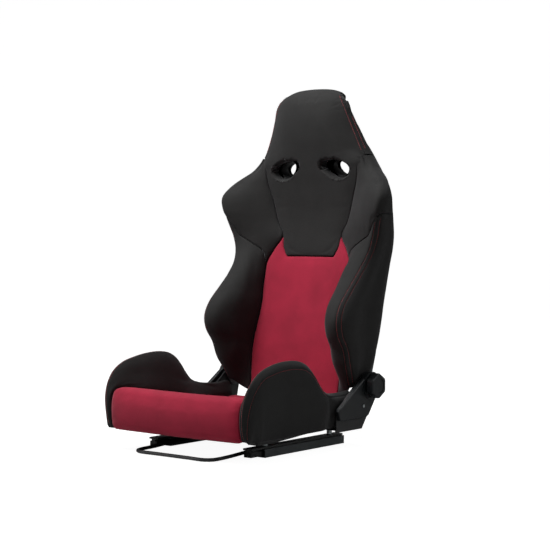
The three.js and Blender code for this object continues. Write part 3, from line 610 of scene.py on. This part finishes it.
# red centre
t = steps((-1, 10), (-0.9, 44), (0.9, 10), (1, 0))
v = steps((0, 6), (0.03, 60), (0.96, 12), (1, 0))
T, Vv = np.meshgrid(t, v)
Z = lerp(124.0, panel_edge(T) - GAP / 2, Vv)
x, y, s = face_grid(T, Z, lambda s: s.seam_x - GAP / 2)
flat_face = np.stack([x, y, Z], -1)
outer, normal, lengths = dress(flat_face, (0, -1, 0), roll=7, depth=4.5, crown=5, reach=45, free=("low",))
inner = np.stack([x * 0.995, np.where(Z < 190, np.minimum(s.seam_y + PAD_DEPTH, 190.5), s.seam_y + PAD_DEPTH),
                  Z], -1)
back_center = pad_object("back_center_cover", outer, inner, lengths)
add_piece(back_center, RED, "backrest", ("back_center",))

SPLIT = np.array([499, 537, 558, 580, 630, 640, 640, 640, 640], float)
LUMBAR_LOW = np.array([126, 130, 138, 150, 156, 160, 182, 188, 192], float)
WING_TOP = np.full(9, 806.0)
STRIP = 4.85           # where the second stitched line runs, counted in control points
bolster_c = steps((0, 12), (0.25, 26), (2.6, 16), (3.6, 12), (4.0, 18), (STRIP, 10), (5.5, 16), (7.2, 12),
                  (8, 0))
crest_column = int(np.argmin(np.abs(bolster_c - 4.0)))
strip_column = int(np.argmin(np.abs(bolster_c - STRIP)))
seams = {"left": [], "right": []}


def side_cover(name, low, high, rows, node, sewn, roll_edges=()):
    C, R = np.meshgrid(bolster_c, rows)
    edge = lambda values: curve_at(np.broadcast_to(np.stack([np.arange(9.0) * 30, values], -1), C.shape + (9, 2)),
                                   C)[..., 1]
    Z = lerp(edge(low), edge(high), R)
    s = Section(Z)
    xy = curve_at(bolster_section(s), C)
    flat_face = np.concatenate([xy, Z[..., None]], -1)
    towards = np.stack([xy[..., 0] - (s.seam_x + 40), xy[..., 1] - s.corner_y, Z * 0], -1)
    outer, normal, lengths = dress(flat_face, towards, roll=6, depth=3.6, crown=4, reach=40,
                                   free=roll_edges if sewn else ("high",),
                                   grooves=((crest_column, 1.6, 2.0), (strip_column, 1.6, 2.0)) if sewn else ())
    f = C / 8
    inner = np.stack([lerp(s.seam_x + 2, s.rear_x - 24, f), lerp(s.seam_y + PAD_DEPTH, s.corner_y, f), Z], -1)
    # clear of the recliner's cross shaft below the pad
    from_axis = np.hypot(inner[..., 1] - PIVOT_Y, inner[..., 2] - PIVOT_Z)
    inner[..., 1] = np.where(from_axis < 16, PIVOT_Y - 15, inner[..., 1])
    for side, turn in (("left", lambda p: p), ("right", mirrored_grid)):
        obj = pad_object(name + "_" + side + "_cover", turn(outer), turn(inner), lengths)
        add_piece(obj, BLACK, "backrest", (node + "_" + side,))
        if sewn:
            for column in (crest_column, strip_column):
                seams[side].append((turn(outer[:, column]), turn(normal[:, column])))


side_cover("back_lumbar", LUMBAR_LOW, SPLIT - GAP / 2, steps((0, 10), (0.04, 90), (0.96, 10), (1, 0)),
           "back_lumbar", True)
side_cover("back_wing", SPLIT + GAP / 2, WING_TOP, steps((0, 10), (0.05, 66), (0.95, 10), (1, 0)), "back_wing",
           False)

# headrest and the panel under it: one cover from the notch to the crown, with two harness slots
SEAM_C = 4.42          # where the side strip is sewn to the front, counted in control points


def row_curve(z, dense=48):
    """The front of the cover at one height, from the middle to its sewn edge, evenly spaced."""
    z = np.asarray(z, float)
    s = Section(z)
    reach = SEAM_C * smooth(772, 815, z)
    f = np.linspace(0, 1, dense)
    x = f * s.seam_x[:, None]
    neck_face = np.stack([x, lerp(s.face_y[:, None], s.seam_y[:, None], f ** 2)], -1)
    c = np.linspace(0, 1, dense)[None] * reach[:, None]
    bolster = bolster_section(s)[:, None].repeat(dense, 1)
    side = curve_at(bolster, c)
    neck = np.concatenate([neck_face[:, :-1], side], 1)
    end = side[:, -1]
    head_x = np.linspace(0, 1, dense * 2 - 1)[None] * end[:, :1]
    g = head_x / s.crest_x[:, None]
    head_y = np.where(g <= 1, lerp(s.face_y[:, None], s.crest_y[:, None] - 1, np.clip(g, 0, 1) ** 3.4),
                      s.crest_y[:, None] - 1 + (g - 1) * 60)
    head = np.stack([head_x, head_y], -1)
    share = np.linspace(0, 1, dense * 2 - 1)

    def even(p, t):
        d = np.r_[0, np.cumsum(np.hypot(*np.diff(p, axis=0).T))]
        return np.stack([np.interp(t * d[-1], d, p[:, k]) for k in (0, 1)], -1)
    blend = smooth(785, 830, z)
    return [lerp(even(neck[i], share), even(head[i], share), blend[i]) for i in range(len(z))], share


head_t = steps((0, 52), (0.93, 10), (1, 0))
table_z = np.linspace(500, TOP, 400)
table_rows, table_share = row_curve(table_z)
table_rows = np.array(table_rows)
half_table = np.stack([np.stack([np.interp(head_t, table_share, row[:, k]) for k in (0, 1)], -1)
                       for row in table_rows])
cols_t = np.concatenate([-head_t[:0:-1], head_t])


def upper_point(t, z):
    """Position on the cover at share t of its half-width, either side, and height z."""
    zi = np.clip((z - table_z[0]) / (table_z[1] - table_z[0]), 0, len(table_z) - 1.001)
    k = zi.astype(int)
    f = (zi - k)[..., None]
    ti = np.interp(np.abs(t), head_t, np.arange(len(head_t)))
    j = np.minimum(ti.astype(int), len(head_t) - 2)
    g = (ti - j)[..., None]
    a = lerp(half_table[k, j], half_table[k, j + 1], g)
    b = lerp(half_table[k + 1, j], half_table[k + 1, j + 1], g)
    p = lerp(a, b, f)
    drop = 11 * smooth(TOP - 60, TOP, z) * np.abs(t) ** 3
    return np.stack([np.sign(t) * p[..., 0], p[..., 1], z - drop], -1)


rows_v = steps((0, 12), (0.04, 96), (0.86, 34), (1, 0))
T, R = np.meshgrid(cols_t, rows_v)
Z = lerp(panel_edge(T) + GAP / 2, TOP, R)
face = upper_point(T, Z)
# over the crown: from the top edge back to the rear cover
CROWN_ROWS = 14
top_row = face[-1]
crown = []
for k in range(1, CROWN_ROWS + 1):
    f = k / CROWN_ROWS
    y = lerp(top_row[:, 1], 317.0, f)
    rise = 4 * np.sin(math.pi * f) * (1 - 0.5 * f)
    crown.append(np.stack([top_row[:, 0] * (1 - 0.02 * f), y, top_row[:, 2] + rise - 7 * f * f], -1))
face = np.concatenate([face, np.array(crown)], 0)
outer, normal, lengths = dress(face, (0, -1, 0.15), roll=6, depth=3.6, crown=4, reach=40)
lengths[..., 0] -= lengths[:, len(cols_t) // 2:len(cols_t) // 2 + 1, 0]
upper_outer, upper_normal = outer, normal
Zi = np.concatenate([Z, np.repeat(Z[-1:], CROWN_ROWS, 0)], 0)
si = Section(np.minimum(Zi, 968))
deep = lerp(si.seam_y + PAD_DEPTH, np.minimum(si.face_y + 46, si.rear_y - 9), smooth(790, 830, Zi))
zi_flat = np.minimum(face[..., 2], 966)
inner = np.stack([face[..., 0] * 0.97, np.maximum(deep, 0), zi_flat], -1)
inner[-CROWN_ROWS:, :, 1] = lerp(inner[-CROWN_ROWS - 1, :, 1], 312, np.linspace(0, 1, CROWN_ROWS + 1)[1:, None])

SLOT = np.array([(43, 792), (58, 797), (84, 797), (108, 793), (130, 782), (138, 768), (134, 756), (122, 747),
                 (102, 743), (80, 748), (62, 758), (46, 770), (40, 781)], float)
SLOT_MID = np.array([89.0, 771.0])


def closed_outline(corners, middle):
    """A smooth closed curve through corners, as rising angles about the middle and their distances."""
    d = corners - middle
    a = np.arctan2(d[:, 1], d[:, 0])
    order = np.argsort(a)
    a, p = a[order], d[order]
    p = np.concatenate([p[-3:], p, p[:3]])
    angles, radii = [], []
    for k in range(1, len(p) - 2):
        for t in np.linspace(0, 1, 12, endpoint=False):
            q = 0.5 * (2 * p[k] + (p[k + 1] - p[k - 1]) * t
                       + (2 * p[k - 1] - 5 * p[k] + 4 * p[k + 1] - p[k + 2]) * t * t
                       + (3 * p[k] - p[k - 1] - 3 * p[k + 1] + p[k + 2]) * t ** 3)
            angles.append(math.atan2(q[1], q[0]))
            radii.append(math.hypot(*q))
    angles = np.unwrap(angles)
    angles -= 2 * math.pi * round(float(angles.mean()) / (2 * math.pi))
    return angles, np.array(radii)


SLOT_ANGLES, SLOT_RADII = closed_outline(SLOT, SLOT_MID)


def slot_radius(angle, grow=0.0):
    """The slot's edge in a direction from its middle."""
    return np.interp(angle, SLOT_ANGLES, SLOT_RADII) + grow


def slot_vertex(co, side):
    """Angle and distance of a point from the middle of a slot, as if on the left one."""
    dx, dz = side * co.x / MM - SLOT_MID[0], co.z / MM - SLOT_MID[1]
    return math.atan2(dz, dx), math.hypot(dx, dz)


def at_slot(angle, grow, side, y):
    """A point on a slot's wall: the tunnel narrows to the rear as its floor rises."""
    r = float(slot_radius(angle, grow))
    narrow = float(smooth(272, 300, y))
    shift_z = narrow * 6.0
    r *= 1 - 0.2 * narrow
    return Vector((side * (SLOT_MID[0] + r * math.cos(angle)), y, SLOT_MID[1] + shift_z + r * math.sin(angle))) * MM


def slotted_pad(name, outer, inner, flat, lip=8.0, inward=1, grow_in=2.0):
    """A pad as pad_object makes it, with both harness slots cut through and their edges rolled in."""
    rows, cols = outer.shape[:2]
    bm = bmesh.new()
    uv = bm.loops.layers.uv.new("cover")
    where, rims, layers = {}, [], []
    for points in (outer, inner):
        made = bmesh.ops.create_grid(bm, x_segments=cols - 1, y_segments=rows - 1, size=1.0)["verts"]
        mine = set(made)
        for v in made:
            i = round((v.co.y + 1) / 2 * (rows - 1))
            j = round((v.co.x + 1) / 2 * (cols - 1))
            v.co = Vector(points[i, j] * MM)
            where[v] = flat[i, j] * MM
        rims += [e for e in bm.edges if e.is_boundary and e.verts[0] in mine]
        layers.append(list(made))
    bmesh.ops.bridge_loops(bm, edges=rims)
    twin = dict(zip(layers[0], layers[1]))
    for side in (1, -1):
        inside = set()
        for v in twin:
            if not v.is_valid:
                continue
            angle, dist = slot_vertex(v.co, side)
            if dist < float(slot_radius(angle, lip)) and v.co.z > 0.7:
                inside.add(v)
        twins = {twin[v] for v in inside}
        gone = [f for f in bm.faces if all(v in inside for v in f.verts) or all(v in twins for v in f.verts)]
        bmesh.ops.delete(bm, geom=gone, context="FACES_ONLY")
        wires = [e for e in bm.edges if e.is_wire]
        bmesh.ops.delete(bm, geom=wires, context="EDGES")
        lone = [v for v in bm.verts if not v.link_faces]
        for v in lone:
            where.pop(v, None)
        bmesh.ops.delete(bm, geom=lone, context="VERTS")
        twin = {a: b for a, b in twin.items() if a.is_valid and b.is_valid}
        inside = {v for v in inside if v.is_valid}
        twins = {v for v in twins if v.is_valid}
        front = [e for e in bm.edges if e.is_boundary and all(v in inside for v in e.verts)]
        rear = [e for e in bm.edges if e.is_boundary and all(v in twins for v in e.verts)]
        for v in {v for e in front for v in e.verts}:
            angle, _ = slot_vertex(v.co, side)
            v.co = at_slot(angle, lip, side, v.co.y / MM)
            twin[v].co = at_slot(angle, grow_in, side, twin[v].co.y / MM)
        last = front
        before = 0.0
        for grow, deep_y in ((lip * 0.62, 1.0), (lip * 0.32, 3.2), (lip * 0.1, 6.8), (0.0, 12.0)):
            old = {v for e in last for v in e.verts}
            made = bmesh.ops.extrude_edge_only(bm, edges=last)["geom"]
            last = [g for g in made if isinstance(g, bmesh.types.BMEdge)]
            for v in [g for g in made if isinstance(g, bmesh.types.BMVert)]:
                parent = next(e.other_vert(v) for e in v.link_edges if e.other_vert(v) in old)
                angle, _ = slot_vertex(v.co, side)
                where[v] = where[parent]
                v.co = at_slot(angle, grow, side, v.co.y / MM + inward * (deep_y - before))
            before = deep_y
        bmesh.ops.bridge_loops(bm, edges=last + rear)
    for f in bm.faces:
        for loop in f.loops:
            if loop.vert in where:
                loop[uv].uv = where[loop.vert]
    return finish_mesh(bm, name)


STITCH_INSET = 5       # columns a millimetre apart, in from the sewn edge
for side, column in (("left", len(cols_t) - 1 - STITCH_INSET), ("right", STITCH_INSET)):
    rows_in = (upper_outer[:, column, 2] > 800) & (upper_outer[:, column, 2] < 990)
    rows_in[-CROWN_ROWS:] = False
    seams[side].append((upper_outer[rows_in, column], upper_normal[rows_in, column]))
back_upper = slotted_pad("back_upper_cover", outer, inner, lengths)
add_piece(back_upper, BLACK, "backrest", ("back_upper",))

# strips down both sides of the headrest, from the sewn crest back to the rear cover
strip_c = steps((SEAM_C, 10), (5.2, 12), (7.2, 12), (8, 0))
C, R = np.meshgrid(strip_c, steps((0, 8), (0.05, 40), (0.8, 20), (1, 0)))
strip_low = np.interp(C, [SEAM_C, 6, 8], [811, 808, 806.7])
Z = lerp(strip_low, TOP - 6, R)
s = Section(Z)
xy = curve_at(bolster_section(s), C)
drop = 11 * smooth(TOP - 60, TOP, Z)
tuck_in = 9 * smooth(TOP - 22, TOP - 6, Z)
flat_face = np.stack([xy[..., 0] - tuck_in, xy[..., 1] + 0.4 * tuck_in, Z - drop], -1)
outer, normal, lengths = dress(flat_face, (1, 0.3, 0), roll=6, depth=3.6, crown=4, reach=40, free=("low",))
inner = np.stack([flat_face[..., 0] - 22, np.maximum(flat_face[..., 1], 285.0), np.minimum(Z - drop, 958)], -1)
strip_stitch = int(np.argmin(np.abs(lengths[20, :, 0] - 5.0)))
for side, turn in (("left", lambda p: p), ("right", mirrored_grid)):
    obj = pad_object("headrest_side_" + side, turn(outer), turn(inner), lengths)
    add_piece(obj, BLACK, "backrest")
    seams[side].append((turn(outer[4:-10, strip_stitch]), turn(normal[4:-10, strip_stitch])))

# rear cover with the slots through it
t = steps((-1, 8), (-0.95, 60), (0.95, 8), (1, 0))
v = steps((0, 8), (0.02, 110), (0.98, 8), (1, 0))
T, Vv = np.meshgrid(t, v)
Z = lerp(222.0, TOP - 7, Vv)
s = Section(Z)
bulge = 1 - np.abs(T) ** 2.6
rear_face = np.stack([T * s.rear_x, lerp(s.corner_y + 6.4, s.rear_y, bulge), Z], -1)
outer, normal, lengths = dress(rear_face, (0, 1, 0), roll=6, depth=3, crown=0.5, reach=30)
lengths[..., 0] -= lengths[:, len(t) // 2:len(t) // 2 + 1, 0]
inner = np.stack([T * (s.rear_x - 1), lerp(s.corner_y + 3.8, s.rear_y - 4, bulge), Z], -1)
back_shell = slotted_pad("back_shell_cover", outer, inner, lengths, lip=5.0, inward=-1, grow_in=1.0)
add_piece(back_shell, VINYL, "backrest", ("back_shell",))


def sleeve(side):
    """A thin fabric tunnel from behind the pad to the rear cover."""
    bm = bmesh.new()
    ring = bmesh.ops.create_circle(bm, segments=56, radius=1.0)["verts"]
    for v in ring:
        angle = math.atan2(v.co.y, v.co.x)
        v.co = at_slot(angle, -0.4, side, 284.0)
    last = bm.edges[:]
    for y, grow in ((290, -0.6), (305, -0.6), (320, -0.6), (331, -0.5), (336, 0.6), (336, 1.9), (320, 1.9), (290, 1.9),
                    (284, 1.4)):
        made = bmesh.ops.extrude_edge_only(bm, edges=last)["geom"]
        last = [g for g in made if isinstance(g, bmesh.types.BMEdge)]
        for g in made:
            if isinstance(g, bmesh.types.BMVert):
                angle, _ = slot_vertex(g.co, side)
                g.co = at_slot(angle, grow, side, y)
    bmesh.ops.bridge_loops(bm, edges=[e for e in bm.edges if e.is_boundary])
    return finish_mesh(bm, "harness_sleeve_" + ("left" if side > 0 else "right") + "_lining")


for side, name in ((1, "harness_sleeve_left"), (-1, "harness_sleeve_right")):
    add_piece(sleeve(side), VINYL, "backrest", (name,))

# ---------------------------------------------------------------- cushion covers
SEAM_HALF = 208.0
SEAM_FLARE = [(-314, 20), (-296, 18), (-265, 10), (-217, 0), (200, 0)]


def seam_at(y):
    """Half-width of the cushion's seams, which flare out to the front."""
    return SEAM_HALF + np.interp(y, *zip(*SEAM_FLARE))


def top_line(y):
    return 167 - 64 * smooth(-330, 40, y)


nose = [(-322, 52), (-331, 62), (-337, 88), (-338, 116), (-334, 143), (-324, 160), (-305, 167)]
line = np.array(nose + [(y, float(top_line(y))) for y in (-285, -265, -240, -217, -180, -140, -80, -20, 40, 100, 156)]
                + [(164, float(top_line(164)) - 8)], float)
n_line = len(line)
r = steps((0, 8), (0.6, 44), (6, 60), (16.6, 8), (n_line - 1, 0))
t = steps((-1, 10), (-0.94, 60), (0.94, 10), (1, 0))
T, Rr = np.meshgrid(t, r)
profile = curve_at(np.broadcast_to(line, T.shape + line.shape), Rr)
edge = T * T
lift = edge * 3 * smooth(1, 6, Rr)
back_off = edge * 7 * (1 - smooth(4, 8, Rr))
flat_face = np.stack([T * (seam_at(profile[..., 0]) - GAP / 2), profile[..., 0] + back_off, profile[..., 1] + lift], -1)
towards = np.stack([T * 0, -(1 - smooth(5, 7, Rr)), smooth(4, 7, Rr)], -1)
outer, normal, lengths = dress(flat_face, towards, roll=10, depth=8, crown=1.5, reach=50, sides=(20, 10))
lengths[..., 0] -= lengths[:, len(t) // 2:len(t) // 2 + 1, 0]
inner_front = [(-284, 54), (-282, 60), (-281, 66), (-280, 71), (-270, 71)]
inner_line = np.array(inner_front + [(max(line[i][0], -262 + 2 * (i - 5)), 71) for i in range(5, n_line)], float)
inner_yz = np.stack([np.interp(Rr, np.arange(n_line), inner_line[:, k]) for k in (0, 1)], -1)
inner = np.stack([T * (SEAM_HALF - GAP / 2 - 1), inner_yz[..., 0] + back_off, inner_yz[..., 1]], -1)
cushion = pad_object("cushion_center_cover", outer, inner, lengths)
add_piece(cushion, RED, "seat_base", ("cushion_center",))

CREST = [(240, -318, 60), (242, -327, 86), (243, -331, 115), (245, -330, 148), (247, -320, 179), (248, -299, 209),
         (246, -265, 232), (242, -217, 246), (240, -165, 253), (240, -120, 253), (240, -86, 247), (240, -60, 234),
         (240, -40, 215), (240, -20, 190), (239, 4, 166), (232, 34, 154), (222, 70, 150), (221, 110, 149),
         (221, 150, 150), (221, 164, 142)]
SEAM_FRONT = [(-317, 57), (-326, 84), (-329, 112), (-325, 140), (-314, 160), (-296, 168)]
outer_net, inner_net = [], []
for i, (crest, y, z) in enumerate(CREST):
    f = i / (len(CREST) - 1)
    flank = float(lerp(crest + 10, 237.5, smooth(4, 44, y)))
    if i < len(SEAM_FRONT):
        sy, sz = SEAM_FRONT[i]
    else:
        sy = max(y, -270)
        sz = float(top_line(sy)) + 5
    seam_x = float(seam_at(sy)) + GAP / 2
    foot = min(seam_x, 226)
    low = min(z - 4, 54 + 2 * f)
    tuck = max(y + 5, -312 + 8 * i)
    raise_ = 0.02 * max(0, z - sz)
    outer_net.append([
        (seam_x, sy, sz),
        (lerp(seam_x, crest, 0.35), lerp(sy, y, 0.55), lerp(sz, z, 0.42)),
        (lerp(seam_x, crest, 0.72), lerp(sy, y, 0.9), lerp(sz, z, 0.86) + raise_),
        (crest - 3, y, z),
        (crest + 5, lerp(y, tuck, 0.25), lerp(z, low, 0.05)),
        (flank, lerp(y, tuck, 0.5), lerp(z, low, 0.22)),
        (flank, lerp(y, tuck, 0.85), lerp(z, low, 0.6)),
        (flank - 5, tuck, low)])
    rear = max(y, -276 + 2 * i)
    deep_z = min(71, max(z - 12, low + 0.5), sz - 6)
    inner_net.append([(foot + dx, rear, lerp(deep_z, low, d)) for dx, d in
                      ((0.5, 0), (3, 0), (6, 0), (9, 0), (11, 0), (13, 0.4), (14, 0.8), (14.5, 1))])
outer_net, inner_net = np.array(outer_net, float), np.array(inner_net, float)


def net_surface(net, r, c):
    """A smooth surface through a net of control points."""
    along = np.stack([curve_at(np.broadcast_to(net[:, j], (len(r),) + net[:, j].shape), r)
                      for j in range(net.shape[1])], 1)
    return curve_at(np.broadcast_to(along[:, None], (len(r), len(c)) + along.shape[1:]),
                    np.broadcast_to(c, (len(r), len(c))))


r = steps((0, 8), (0.5, 100), (18.5, 8), (19, 0))
c = steps((0, 10), (0.25, 20), (2.4, 10), (3.0, 14), (4.35, 10), (5, 18), (6.7, 8), (7, 0))
flat_face = net_surface(outer_net, r, c)
crest_col, strip_col = int(np.argmin(np.abs(c - 3.0))), int(np.argmin(np.abs(c - 4.35)))
mid = flat_face.mean(axis=1, keepdims=True)
towards = (flat_face - np.array([225.0, 0, 0]) * [1, 0, 0]
           - np.stack([mid[..., 0] * 0, mid[..., 1], mid[..., 2] - 30], -1))
outer, normal, lengths = dress(flat_face, towards, roll=8, depth=6, crown=3, reach=30,
                               grooves=((crest_col, 1.6, 2.0), (strip_col, 1.6, 2.0)))
lengths[..., 0] -= lengths[:, crest_col:crest_col + 1, 0]
inner = net_surface(inner_net, r, c)
thigh_seams = {"left": [], "right": []}
for side, turn in (("left", lambda p: p), ("right", mirrored_grid)):
    obj = pad_object("cushion_bolster_" + side + "_cover", turn(outer), turn(inner), lengths)
    add_piece(obj, BLACK, "seat_base", ("cushion_bolster_" + side,))
    for column in (crest_col, strip_col):
        thigh_seams[side].append((turn(outer[:120, column]), turn(normal[:120, column])))

# ---------------------------------------------------------------- stitching
bm = bmesh.new()
for side in ("left", "right"):
    for path, n in thigh_seams[side]:
        stitch_line(bm, path[6:86], n[6:86])
add_piece(finish_mesh(bm, "cushion_stitching"), THREAD, "seat_base")
bm = bmesh.new()
for side in ("left", "right"):
    for path, n in seams[side]:
        stitch_line(bm, path[6:-6], n[6:-6])
add_piece(finish_mesh(bm, "back_stitching"), THREAD, "backrest")

# ---------------------------------------------------------------- hard parts keep their shape and get finishes
FINISHES = {"black_vinyl": VINYL, "black_plastic": PLASTIC, "black_steel": BLACK_STEEL, "grey_steel": GREY_STEEL,
            "zinc": ZINC, "red_fabric": RED, "black_fabric": BLACK}
for part in frame["record"]["subparts"]:
    give(nodes[part["node"]], FINISHES[part["material_slot"]])
